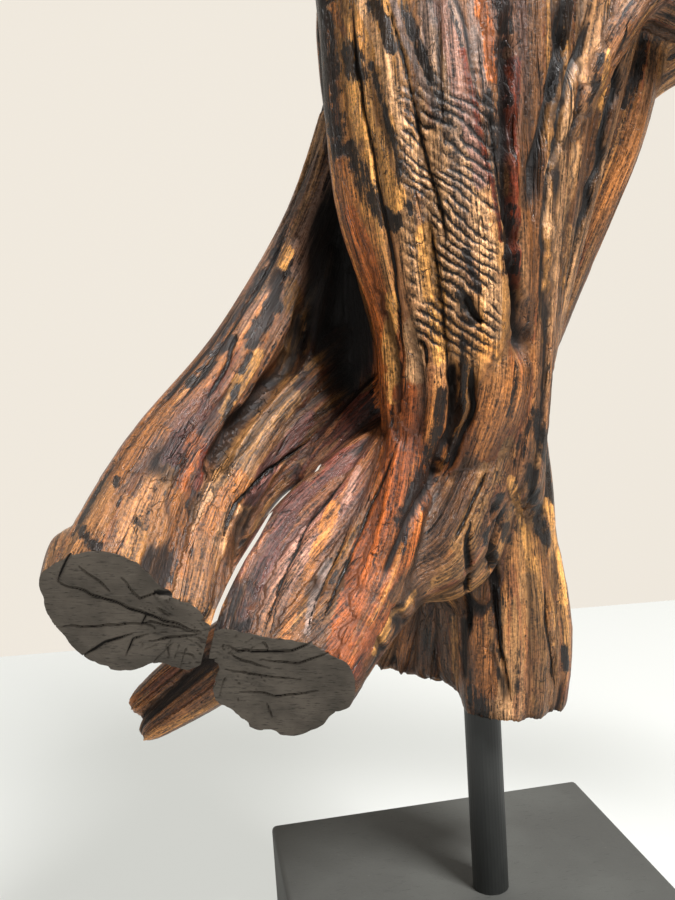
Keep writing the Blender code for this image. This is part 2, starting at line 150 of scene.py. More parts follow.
HEAD_PAIRS = {
    "brow": [(8, 0, 20, 13), (40, -1, 29, 12), (64, -3, 35, 9), (84, -10, 37, 6)],
    "temple": [(40, -22, 24, 22), (80, -22, 22, 21), (120, -20, 17, 19), (170, -16, 11, 15)],
    "cheek": [(48, -56, 22, 25), (82, -64, 24, 27), (112, -62, 20, 23), (150, -48, 14, 18)],
    "cheek_ridge": [(84, -26, 35, 8), (115, -22, 32, 8), (160, -15, 25, 8), (215, -11, 19, 7)],
    "jowl": [
        (18, -70, 22, 16), (50, -96, 23, 15), (90, -106, 23, 14), (128, -94, 19, 13),
        (165, -72, 16, 12), (205, -54, 12, 11), (250, -45, 8, 9),
    ],
    "jaw": [(56, -82, 13, 22), (95, -84, 13, 22), (130, -74, 11, 20), (170, -54, 8, 17)],
    "eye": [(58, -14, 35, 9), (68, -16, 37, 10), (78, -20, 35, 8)],
    "muzzle": [(225, -13, 12, 13), (268, -11, 17, 14), (300, -14, 17, 13), (318, -19, 12, 10)],
    "nostril_rim": [(282, 1, 20, 7), (300, 0, 24, 6), (314, -8, 23, 6), (316, -19, 18, 6)],
    "ear": [(2, 6, 20, 13), (-20, 28, 27, 14), (-42, 48, 31, 10), (-62, 63, 31, 3)],
}


def read_strand(points, share):
    """The strand's point and radius at a share of its length, on a smooth curve."""
    place = share * (len(points) - 1)
    start = min(int(place), len(points) - 2)
    t = place - start
    a, b, c, d = (points[max(0, min(start + k, len(points) - 1))] for k in (-1, 0, 1, 2))
    return [
        0.5 * (2 * q + (r - p) * t + (2 * p - 5 * q + 4 * r - u) * t * t
               + (3 * q - p - 3 * r + u) * t * t * t)
        for p, q, r, u in zip(a, b, c, d)
    ]


def between(one, other, share, proud, steps=8):
    """A rib a share of the way from one guide to the other, standing proud of the two."""
    rib = []
    for step in range(steps):
        here, there = (read_strand(guide, step / (steps - 1)) for guide in (one, other))
        x, y, z, radius = (h + (t - h) * share for h, t in zip(here, there))
        rib.append((x, y - proud * 4 * share * (1 - share), z, radius * 0.9))
    return rib


def back_ribs():
    for rib in range(BACK_RIBS):
        share = -0.84 + 1.68 * rib / (BACK_RIBS - 1)
        swell = 1.5 * math.sin(2.4 * rib)
        yield [
            (
                (left + right) / 2 + share * (right - left) * 0.43 + 3 * math.sin(up / 40 + rib),
                away * math.sqrt(1 - 0.8 * share * share),
                up,
                (right - left) / 12 + BACK_RIB_THICKNESS + swell,
            )
            for up, left, right, away in TRUNK_OUTLINE
        ]


def ribs_around(core, turns, lift=0.72, share=0.42):
    for turn in turns:
        rib = []
        for i, (x, y, z, radius) in enumerate(core):
            ahead = Vector(core[min(i + 1, len(core) - 1)][:3])
            along = (ahead - Vector(core[max(i - 1, 0)][:3])).normalized()
            side = (Vector((0, 1, 0)) - along * along.y).normalized()
            out = side * math.cos(turn + 0.12 * i) + along.cross(side) * math.sin(turn + 0.12 * i)
            rib.append((*(Vector((x, y, z)) + out * radius * lift), radius * share))
        yield rib


def on_head(along, out, aside):
    face = Vector((math.cos(HEAD_DROP), 0, -math.sin(HEAD_DROP)))
    forehead = Vector((math.sin(HEAD_DROP), 0, math.cos(HEAD_DROP)))
    return POLL + face * along + forehead * out + Vector((0, aside, 0))


def head_strand(points, side=1):
    return [(*on_head(a, n, y * side), radius) for a, n, y, radius in points]


# What each strand looks like from its crown end down, in the finishes named further on
STRAND_LOOKS = {
    "left_rim": "brown char char ochre orange orange",
    "left_rim 0.28": "brown char gold gold orange orange",
    "left_rim 0.54": "brown gold gold olive tan orange",
    "rippled_face": "brown grey grey tan gold orange",
    "rippled_face 0.37": "brown red pink ochre brown orange",
    "rippled_face 0.78": "char char char brown brown brown",
    "brown_rib": "brown grey brown tan brown olive",
    "brown_rib 0.33": "brown brown tan olive brown brown",
    "brown_rib 0.66": "brown olive brown tan brown olive",
    "right_edge": "brown brown ochre brown brown brown",
    "knob": "tan ochre brown",
    "left_limb": "char grey ochre purple honey honey",
    "left_under": "brown ochre olive",
    "left_toe": "olive brown",
    "web_top": "char brown tan honey",
    "web_top 0.50": "char brown honey honey",
    "web_edge": "char purple brown olive",
    "web_back": "char char brown brown",
    "crease": "char char brown",
    # The cavity's wall and edge are char all over: the wood's own char, and painted shade deep in the hollow
    # behind the left rim.
    "cavity_wall": "char char char char",
    "cavity_edge": "char char char",
    "slit_bridge": "char purple purple",
    "slit_side": "brown purple purple brown",
    "slit_side 0.34": "brown purple pink honey",
    "slit_side 0.67": "orange brown honey honey",
    "red_side": "orange orange red red",
    "middle_core": "brown brown brown brown",
    "flank": "ochre brown olive brown",
    "flank_lip": "brown olive olive brown",
    "shard_long": "brown brown ochre tan",
    "shard_short": "brown brown brown ochre",
    "leg_core": "brown olive olive",
    "leg_left": "brown char ochre brown",
    "leg_left 0.35": "olive olive olive tan",
    "leg_left 0.68": "olive gold olive olive",
    "leg_edge": "char brown olive brown",
    "rod_wall": "char brown brown",
    "skirt_edge": "char olive brown",
}
UNSEEN_LOOKS = (
    "brown ochre olive brown", "ochre gold brown olive", "brown grey ochre brown",
    "olive brown char brown", "tan brown ochre brown",
)


def wood_strands():
    """Every strand, with its name or that of the guide it starts from."""
    yield from GUIDES.items()
    for one, other, shares, proud in RIBS_BETWEEN:
        for share in shares:
            yield f"{one} {share:.2f}", between(GUIDES[one], GUIDES[other], share, proud)
    unseen = [*back_ribs(), *ribs_around(GUIDES["left_limb"], (0.2, 1.1, -0.8))]
    unseen += ribs_around(GUIDES["middle_core"], (0.0, 0.9, -0.9))
    for share in (0, 0.35, 0.68):
        front = between(GUIDES["leg_left"], GUIDES["leg_edge"], share, LEG_RIBS_PROUD, steps=4)
        unseen.append([(x, LEG_BACK_OFFSET - 0.7 * y, z, radius) for x, y, z, radius in front])
    unseen += MANE + [head_strand(points) for points in (HEAD_CORE, NASAL_RIDGE, CHIN)]
    unseen += [head_strand(points, side) for points in HEAD_PAIRS.values() for side in (-1, 1)]
    for points in unseen:
        yield "unseen", points


strands = list(wood_strands())
skein = bpy.data.curves.new("skein", "CURVE")
skein.dimensions = "3D"
skein.bevel_depth = 1
skein.bevel_resolution = 3
skein.use_fill_caps = True
samples = []
for number, (name, points) in enumerate(strands):
    steps = STEPS_BETWEEN * (len(points) - 1)
    route = [read_strand(points, step / steps) for step in range(steps + 1)]
    centres = np.array([point[:3] for point in route])
    radii = np.array([point[3] for point in route])
    along = np.gradient(centres, axis=0)
    along /= np.linalg.norm(along, axis=1)[:, None]
    run = np.concatenate([[0], np.cumsum(np.linalg.norm(np.diff(centres, axis=0), axis=1))])
    outwards = np.array((0.12, -1.0 if centres[:, 1].mean() < 9 else 1.0, -0.05))
    side = outwards - along * (along @ outwards)[:, None]
    side /= np.linalg.norm(side, axis=1)[:, None]
    for k in range(steps + 1):
        samples.append((*centres[k], radii[k], *along[k], *side[k], run[k], k / steps,
                        number, radii.mean()))
    round_end = ((0.85, 0.45), (0.5, 0.85))
    crown = [(centres[0] - along[0] * radii[0] * push, radii[0] * narrow) for push, narrow in round_end]
    tail = [(centres[-1] + along[-1] * radii[-1] * push, radii[-1] * narrow) for push, narrow in round_end]
    tube = crown + list(zip(centres, radii)) + tail[::-1]
    spline = skein.splines.new("POLY")
    spline.points.add(len(tube) - 1)
    for point, (centre, radius) in zip(spline.points, tube):
        point.co = (*centre, 1)
        point.radius = radius + PLUMP
samples = np.array(samples)


def solid_of(thing):
    """The thing's mesh with its modifiers applied."""
    bpy.context.view_layer.update()
    depsgraph = bpy.context.evaluated_depsgraph_get()
    return bpy.data.meshes.new_from_object(thing.evaluated_get(depsgraph), depsgraph=depsgraph)


def shown(name, data):
    thing = bpy.data.objects.new(name, data)
    bpy.context.scene.collection.objects.link(thing)
    return thing


def discard(*things):
    for thing in things:
        bpy.data.objects.remove(thing)


bundle = shown("bundle", skein)
wood = shown("wood", solid_of(bundle))
for cell, rounds in ((FUSE_CELL, FUSE_ROUNDS), (SKIN_CELL, SKIN_ROUNDS)):
    fuse = wood.modifiers.new("fuse", "REMESH")
    fuse.mode = "VOXEL"
    fuse.voxel_size = cell
    wear = wood.modifiers.new("wear", "SMOOTH")
    wear.factor = 0.5
    wear.iterations = rounds
skin = solid_of(wood)
discard(bundle, wood)

count = len(skin.vertices)
place = np.empty(count * 3)
skin.vertices.foreach_get("co", place)
place = place.reshape(-1, 3)
normal = np.empty(count * 3)
skin.vertex_normals.foreach_get("vector", normal)
normal = normal.reshape(-1, 3)

# Each point of the skin reads its place along and around the strand it lies on, and on the next nearest one,
# so that the grain and the colours run from one into the other.
starts = np.flatnonzero(np.diff(samples[:, 12], prepend=-1))
centre_sq = (samples[:, :3] ** 2).sum(1)
nearest = np.empty((2, count), int)
crevice = np.empty(count)
for low in range(0, count, 4000):
    chunk = place[low:low + 4000]
    away = (chunk ** 2).sum(1)[:, None] + centre_sq - 2 * chunk @ samples[:, :3].T
    away = np.sqrt(np.maximum(away, 0)) - samples[:, 3]
    first = away.argmin(1)
    near = away[np.arange(len(chunk)), first]
    away[samples[:, 12] == samples[first, 12][:, None]] = 1e6
    second = away.argmin(1)
    nearest[:, low:low + 4000] = first, second
    crevice[low:low + 4000] = away[np.arange(len(chunk)), second] - near
own = samples[nearest]
off = place - own[..., :3]
along = own[..., 10] + (off * own[..., 4:7]).sum(-1)
across = np.cross(own[..., 4:7], own[..., 7:10])
turn = np.arctan2((off * across).sum(-1), (off * own[..., 7:10]).sum(-1))
strand = own[..., 12].astype(int)
around = turn * own[..., 13] + strand * 37.0
share = own[..., 11]
main = (0.5 + 0.5 * np.clip(crevice / BLEND_WIDTH, 0, 1))
main = np.stack([main, 1 - main])


def grain_noise(across, down, seed):
    """Smooth noise from -1 to 1 on a grid of one unit."""
    column, row = np.floor(across), np.floor(down)
    u, v = across - column, down - row
    u, v = u * u * (3 - 2 * u), v * v * (3 - 2 * v)

    def corner(right, below):
        key = (column + right).astype(np.int64) * 374761393
        key = (key + (row + below).astype(np.int64) * 668265263 + seed * 974634777) & 0x7FFFFFFF
        key = ((key ^ (key >> 13)) * 1274126177) & 0x7FFFFFFF
        return ((key ^ (key >> 16)) & 0xFFFF) / 32767.5 - 1

    top = corner(0, 0) * (1 - u) + corner(1, 0) * u
    return top * (1 - v) + (corner(0, 1) * (1 - u) + corner(1, 1) * u) * v


def on_grain(wide, long, seed, warp=0):
    """Noise drawn out along the strands, with cells so wide and so long."""
    return (grain_noise((around + warp) / wide, along / long + 0.37 * seed, seed) * main).sum(0)


def rise(value, low, high):
    """0 below low, 1 above high, smooth between."""
    t = np.clip((value - low) / (high - low), 0, 1)
    return t * t * (3 - 2 * t)


def band(value, starts, full, fades, ends):
    """1 from full to where it fades, 0 before its start and after its end."""
    return rise(value, starts, full) * (1 - rise(value, fades, ends))


# The carving: flutes, fibres, cracks, the ripples across the trunk's face and the deep grooves.
# The grooves are drawn on the upright plane through the rod, as seen from the front, and cut where the line
# of sight meets the skin: (half width, depth, route).
SEEN_FROM = np.array([-67.0, -481.0, 293.0])
FACING_BACK_TO = 14
CAVITY_CENTRE, CAVITY_HALF = (-57, 312), (24, 64)
RIPPLE_SPACING = 4.4
RIPPLE_DEPTH, WRINKLE_DEPTH = 0.40, 0.35
GROOVES = [
    (3.0, 8.0, [(29, 453), (28, 425), (26, 397), (26, 344), (29, 294), (29, 272)]),
    (0.9, 1.6, [(-29, 457), (-23, 429), (-17, 395), (-10, 361), (-6, 336)]),
    (0.6, 1.6, [(-16, 359), (-12, 327), (-9, 297), (-8, 269)]),
    (3.0, 6.5, [(-5, 286), (-6, 265), (-9, 246), (-17, 229)]),
    (1.8, 4.0, [(4, 281), (3, 258), (-5, 240), (-14, 223)]),
    (1.8, 3.4, [(2, 314), (5, 305), (9, 298)]),
    (1.3, 3.0, [(-22, 294), (-20, 287), (-20, 279)]),
    (1.0, 2.4, [(9, 225), (0, 207), (-10, 187)]),
    (0.8, 3.0, [(8, 178), (10, 146), (16, 95)]),
    (0.7, 2.2, [(36, 165), (37, 133), (39, 106)]),
    (4.6, 8.0, [(-71, 328), (-80, 307), (-84, 291), (-98, 275), (-115, 258), (-127, 241), (-133, 226)]),
    (0.9, 2.0, [(-83, 354), (-101, 323), (-125, 293), (-146, 268)]),
    (1.2, 2.0, [(-112, 304), (-119, 287), (-132, 270)]),
    (1.3, 2.2, [(-80, 246), (-103, 232), (-120, 215), (-130, 197)]),
    (0.7, 1.6, [(-60, 229), (-83, 205), (-100, 174), (-112, 146)]),
    (0.6, 1.4, [(-62, 204), (-72, 184), (-83, 163), (-90, 143)]),
    (0.8, 1.8, [(-35, 243), (-51, 213), (-67, 180), (-83, 145)]),
    (2.4, 3.4, [(-13, 239), (-26, 211), (-38, 190), (-50, 168)]),
    (2.0, 3.6, [(70, 451), (61, 423), (54, 400), (46, 367), (39, 329)]),
    (1.8, 3.4, [(88, 440), (79, 408), (70, 370), (58, 337), (47, 298)]),
    (2.6, 5.0, [(56, 450), (52, 425), (46, 405), (40, 382), (36, 339)]),
    (0.9, 1.6, [(-46, 458), (-44, 416), (-38, 368), (-32, 318), (-31, 273)]),
    (2.4, 5.0, [(11, 212), (12, 196), (9, 180), (11, 160)]),
    (1.6, 3.2, [(-1, 199), (-4, 168), (-6, 136)]),
    (0.8, 2.4, [(18, 403), (20, 380), (23, 350)]),
]


def seen_at(points):
    """Where points in the wood's own frame are seen on the upright plane through the rod."""
    sight = points - SEEN_FROM
    reach = -SEEN_FROM[1] / sight[:, 1]
    return SEEN_FROM[0] + sight[:, 0] * reach, SEEN_FROM[2] + sight[:, 2] * reach


seen_x, seen_z = seen_at(place)
sight = place - SEEN_FROM
facing = rise(-(normal * sight).sum(1) / np.linalg.norm(sight, axis=1), 0.02, 0.25)
facing *= rise(-place[:, 1], -FACING_BACK_TO, 0)


def gap_to(route, x, z):
    """Distance from each seen point to a route on the seen plane, and its place along the route."""
    gap, where = np.full(len(x), 1e9), np.zeros(len(x))
    for k, ((ax, az), (bx, bz)) in enumerate(zip(route, route[1:])):
        t = ((x - ax) * (bx - ax) + (z - az) * (bz - az)) / ((bx - ax) ** 2 + (bz - az) ** 2)
        t = np.clip(t, 0, 1)
        here = np.hypot(x - ax - t * (bx - ax), z - az - t * (bz - az))
        where = np.where(here < gap, (k + t) / (len(route) - 1), where)
        gap = np.minimum(gap, here)
    return gap, where


flutes = on_grain(9, 150, 1)
ridges = 1 - 2 * on_grain(4.6, 120, 2) ** 2
fibres = on_grain(2.4, 70, 4)
furrows = np.abs(on_grain(13, 120, 7, warp=2.0 * grain_noise(along / 18, around / 12, 6)))
furrows = (1 - rise(furrows, 0.04, 0.26)) * rise(on_grain(14, 60, 8), 0.05, 0.30)
creased = np.exp(-(crevice / 2.0) ** 2)
cavity = np.hypot((seen_x - CAVITY_CENTRE[0]) / CAVITY_HALF[0], (seen_z - CAVITY_CENTRE[1]) / CAVITY_HALF[1])
cavity = 1 - rise(cavity, 0.72, 1.15)
cavity *= rise(place[:, 1], -16, 0) * (1 - rise(place[:, 2], 395, 420))
height = 0.85 * flutes + 0.40 * ridges + 0.30 * fibres

up_there = place[:, 2]
rippled = band(seen_x, -32, -20, 14, 24) * facing
rippled *= band(up_there, 268, 296, 385, 412)
wave = seen_x * 0.62 + seen_z * 0.78
swing = 3.0 * grain_noise(seen_x / 14, seen_z / 19, 9) + 0.8 * grain_noise(seen_x / 5, seen_z / 6, 13)
ripple_count = (wave + swing) / RIPPLE_SPACING
rippled *= 0.35 + 0.65 * rise(grain_noise(seen_x / 9, seen_z / 7, 10), -0.5, 0.2)
ripple = np.sin(math.tau * ripple_count)
wrinkled = band(seen_x, 12, 17, 24, 27) * facing
wrinkled *= band(up_there, 368, 382, 415, 430)
wrinkle = grain_noise(seen_x / 3 + seen_z / 9, seen_z / 2.2 - seen_x / 6, 14)

carved, shadow = np.zeros(count), np.zeros(count)
rift = np.full(count, 9.0)
for half_width, depth, route in GROOVES:
    bend = 0.9 * grain_noise(seen_x / 11, seen_z / 11, 3) * min(half_width, 1.6)
    gap, where = gap_to(route, seen_x + bend, seen_z)
    taper = rise(np.minimum(where, 1 - where), 0, 0.2)
    ragged = max(half_width, 1.3) * (1 + 0.3 * on_grain(3.5, 22, 11))
    profile = (1 - rise(gap, 0.1 * ragged, 1.5 * ragged)) * taper
    carved = np.maximum(carved, profile * depth * facing)
    shadow = np.maximum(shadow, profile * facing * min(1, 3.2 / half_width) * (half_width > 1.5))
    if half_width < 2:
        rift = np.minimum(rift, gap / (half_width * (0.25 + 0.75 * taper)) + 9 * (1 - facing))

height = height * (1 - 0.5 * rippled) + RIPPLE_DEPTH * ripple * rippled + WRINKLE_DEPTH * wrinkle * wrinkled
height -= 1.3 * furrows * (1 - 0.7 * rippled) + 0.4 * creased
ends = [n for n, (name, _) in enumerate(strands) if name.startswith(("shard", "skirt", "rod_wall"))]
height += rise(share[0], 0.84, 1) * np.isin(strand[0], ends) * 1.3 * on_grain(2.8, 8, 12)
on_head_part = rise(place[:, 0], 120, 150) * rise(up_there, 330, 360)
height *= 1 - 0.4 * on_head_part - 0.8 * cavity
height -= carved
place += normal * (height + 0.3)[:, None]
skin.vertices.foreach_set("co", place.ravel())
skin.update()

# The saw's cuts: across the two roots, flat with drying cracks and saw marks, and under the leg.
# A slit and a pinhole show daylight between the roots: (x, y, z, half width, reach along the line of sight).
# The mouth, the nostrils and the rod's hole are cut in too.
SAW_POINT = Vector((-128, -91, 171))
SAW_NORMAL = Vector((-0.15, -0.90, -0.40)).normalized()
SAW_REACH, SAW_CELLS = (92, 58), (380, 240)
SAW_DEPTH, LEG_SAW_DEPTH = 70, 50
LEG_SAW_POINT = Vector((30, 0, 98))
LEG_SAW_TILT = math.radians(4)
LEG_SAW_REACH, LEG_SAW_CELLS = (40, 40), (70, 70)
DRYING_CRACKS = [
    (1.1, [(-216, 181), (-200, 175), (-182, 166), (-164, 158), (-144, 150)]),
    (0.9, [(-216, 181), (-210, 192), (-206, 198)]),
    (1.1, [(-206, 141), (-194, 148), (-180, 151)]),
    (0.6, [(-221, 158), (-196, 157), (-170, 157), (-146, 150)]),
    (0.6, [(-184, 140), (-180, 148), (-172, 151)]),
    (0.6, [(-204, 189), (-189, 175)]),
    (0.6, [(-183, 181), (-174, 170), (-159, 173)]),
    (0.6, [(-174, 156), (-171, 162)]),
    (2.6, [(-166, 173), (-156, 171)]),
    (0.6, [(-171, 147), (-144, 149)]),
    (0.8, [(-133, 142), (-119, 137), (-98, 137), (-82, 141)]),
    (0.6, [(-130, 138), (-122, 132), (-110, 128)]),
    (0.6, [(-114, 133), (-94, 130), (-78, 134)]),
    (0.6, [(-133, 129), (-114, 124), (-94, 121)]),
    (0.6, [(-126, 117), (-105, 113), (-85, 114)]),
    (0.6, [(-112, 143), (-110, 138)]),
    (0.6, [(-113, 109), (-110, 102)]),
]
PITHS = [(-150, 153, 46), (-131, 136, 44)]
ROOT_SLIT = [
    (-100, -40, 217, 1.0, 1.13), (-108, -40, 205, 1.9, 1.13), (-116, -40, 194, 2.0, 1.13),
    (-122, -40, 184, 1.8, 1.13), (-128, -40, 173, 1.6, 1.13), (-132, -40, 163, 1.5, 1.03),
    (-136, -40, 150, 1.9, 1.02), (-141, -40, 132, 3.0, 1.02),
]
BLADE_START = 0.78
PINHOLE = [(-75.5, -40, 238, 0.7, 1.2), (-77.5, -40, 235, 1.0, 1.2)]
NOSTRIL = [(292, -3, 34, 6), (304, -7, 29, 6), (312, -12, 30, 5)]
MOUTH = (262, 335, -33, 4)

sawn_finish = bpy.data.materials.new("sawn_root_end")
bark_finish = bpy.data.materials.new("varnished_root")
skin.materials.clear()
skin.materials.append(bark_finish)
skin.materials.append(sawn_finish)
wood = shown("wood", skin)


def take_away(tool):
    cut = wood.modifiers.new(tool.name, "BOOLEAN")
    cut.object = tool
    cut.operation = "DIFFERENCE"
    cut.solver = "MANIFOLD"


def tool_from(name, shape):
    bmesh.ops.recalc_face_normals(shape, faces=shape.faces)
    data = bpy.data.meshes.new(name)
    shape.to_mesh(data)
    shape.free()
    data.materials.append(bark_finish)
    return shown(name, data)


def grid_tool(reach, cells, depth):
    """A saw's cut: a fine grid whose far side is pushed back, so that it takes away a whole block."""
    shape = bmesh.new()
    bmesh.ops.create_grid(shape, x_segments=cells[0], y_segments=cells[1], size=1)
    bmesh.ops.scale(shape, vec=(*reach, 1), verts=shape.verts)
    front = shape.verts[:]
    deep = bmesh.ops.extrude_face_region(shape, geom=shape.faces[:])
    back = [part for part in deep["geom"] if isinstance(part, bmesh.types.BMVert)]
    bmesh.ops.translate(shape, vec=(0, 0, -depth), verts=back)
    return shape, front


def drying(x, z):
    """How far seen points are from the sawn ends' cracks, as a share of the cracks' half width."""
    bend = 0.7 * grain_noise(x / 6, z / 6, 40)
    gape = np.full(len(x), 9.0)
    for half_width, route in DRYING_CRACKS:
        gap, where = gap_to(route, x + bend, z + bend)
        open_here = half_width * (0.25 + 0.50 * rise(np.minimum(where, 1 - where), 0, 0.3))
        gape = np.minimum(gape, gap / open_here)
    for px, pz, size in PITHS:
        angle, gap = np.arctan2(z - pz, x - px), np.hypot(x - px, z - pz)
        check = np.abs(grain_noise(angle * 8, gap / 30, 41)) * gap / 2.2
        beyond = 1 - rise(gap, 5, 12) + rise(gap, size * 0.5, size)
        gape = np.minimum(gape, 0.6 + check / 0.35 + 6 * beyond)
    return gape


saw, front = grid_tool(SAW_REACH, SAW_CELLS, SAW_DEPTH)
level = Vector((0, 0, 1)).cross(SAW_NORMAL).normalized()
facing_in = Matrix((level, SAW_NORMAL.cross(level), -SAW_NORMAL)).transposed().to_4x4()
facing_in = Matrix.Translation(SAW_POINT) @ facing_in
flat = np.array([facing_in @ vert.co for vert in front])
x, z = seen_at(flat)
teeth = 0.05 * np.sin(math.tau * (z + 0.12 * x) / 2.1) + 0.35 * grain_noise(x / 16, z / 12, 42)
for vert, dent in zip(front, 1.4 * (1 - rise(drying(x, z), 0.3, 1.8)) + teeth):
    vert.co.z = dent
bmesh.ops.transform(saw, matrix=facing_in, verts=saw.verts)
root_saw = tool_from("root_saw", saw)
root_saw.data.materials.append(sawn_finish)
root_saw.data.polygons.foreach_set("material_index", [1] * len(root_saw.data.polygons))

leg_saw, front = grid_tool(LEG_SAW_REACH, LEG_SAW_CELLS, LEG_SAW_DEPTH)
for vert in front:
    x, y = vert.co.xy
    vert.co.z = 0.9 * math.sin(x * 0.5 + 1.3 * math.sin(y * 0.4)) + 0.6 * math.sin(x * 1.7 + y * 1.1)
bmesh.ops.rotate(leg_saw, matrix=Matrix.Rotation(LEG_SAW_TILT, 3, "Y"), verts=leg_saw.verts)
bmesh.ops.translate(leg_saw, vec=LEG_SAW_POINT, verts=leg_saw.verts)
leg_saw = tool_from("leg_saw", leg_saw)


def blade(name, rows):
    """A thin blade along the line of sight, through what shows daylight."""
    shape = bmesh.new()
    rings = []
    for behind in (False, True):
        ring = []
        for side in (-1, 1):
            for x, y, z, half, reach in rows[::-side]:
                edge = Vector((x + side * half, y, z + side * half * 0.6))
                ring.append(shape.verts.new(Vector(SEEN_FROM).lerp(edge, reach if behind else BLADE_START)))
        rings.append(ring)
    loops = []
    for ring in rings:
        loops += [shape.edges.new((a, b)) for a, b in zip(ring, ring[1:] + ring[:1])]
    bmesh.ops.bridge_loops(shape, edges=loops)
    bmesh.ops.holes_fill(shape, edges=shape.edges[:])
    bmesh.ops.triangulate(shape, faces=[face for face in shape.faces if len(face.verts) > 4])
    return tool_from(name, shape)


slit = blade("slit", ROOT_SLIT)
pinhole = blade("pinhole", PINHOLE)

nostrils = bmesh.new()
for side in (-1, 1):
    for row in head_strand(NOSTRIL, side):
        bmesh.ops.create_uvsphere(nostrils, u_segments=16, v_segments=10, radius=row[3],
                                  matrix=Matrix.Translation(row[:3]))
nostrils = tool_from("nostrils", nostrils)

mouth = bmesh.new()
start, end, out, gap = MOUTH
bmesh.ops.create_cube(mouth, size=1)
bmesh.ops.scale(mouth, vec=(end - start, 80, gap), verts=mouth.verts)
bmesh.ops.bevel(mouth, geom=mouth.edges[:], offset=1.5, segments=3, profile=0.5, affect="EDGES", material=-1)
bmesh.ops.transform(
    mouth, verts=mouth.verts,
    matrix=Matrix.Translation(on_head((start + end) / 2, out, 0)) @ Matrix.Rotation(HEAD_DROP, 4, "Y"),
)
mouth = tool_from("mouth", mouth)

GLUE_GAP = 0.3
BORE_RADIUS = (ROD_BOX[1][0] - ROD_BOX[0][0]) * 500 + GLUE_GAP
BORE_TOP = (ROD_BOX[1][2] - BLOCK_BOX[1][2]) * 1000 + GLUE_GAP
bore = bmesh.new()
bmesh.ops.create_cone(bore, cap_ends=True, segments=48, radius1=BORE_RADIUS, radius2=BORE_RADIUS,
                      depth=BORE_TOP, matrix=Matrix.Translation((0, 0, BORE_TOP / 2)))
bore = tool_from("bore", bore)

tools = [root_saw, leg_saw, slit, pinhole, nostrils, mouth, bore]
for tool in tools:
    take_away(tool)
sawn = solid_of(wood)
discard(wood, *tools)
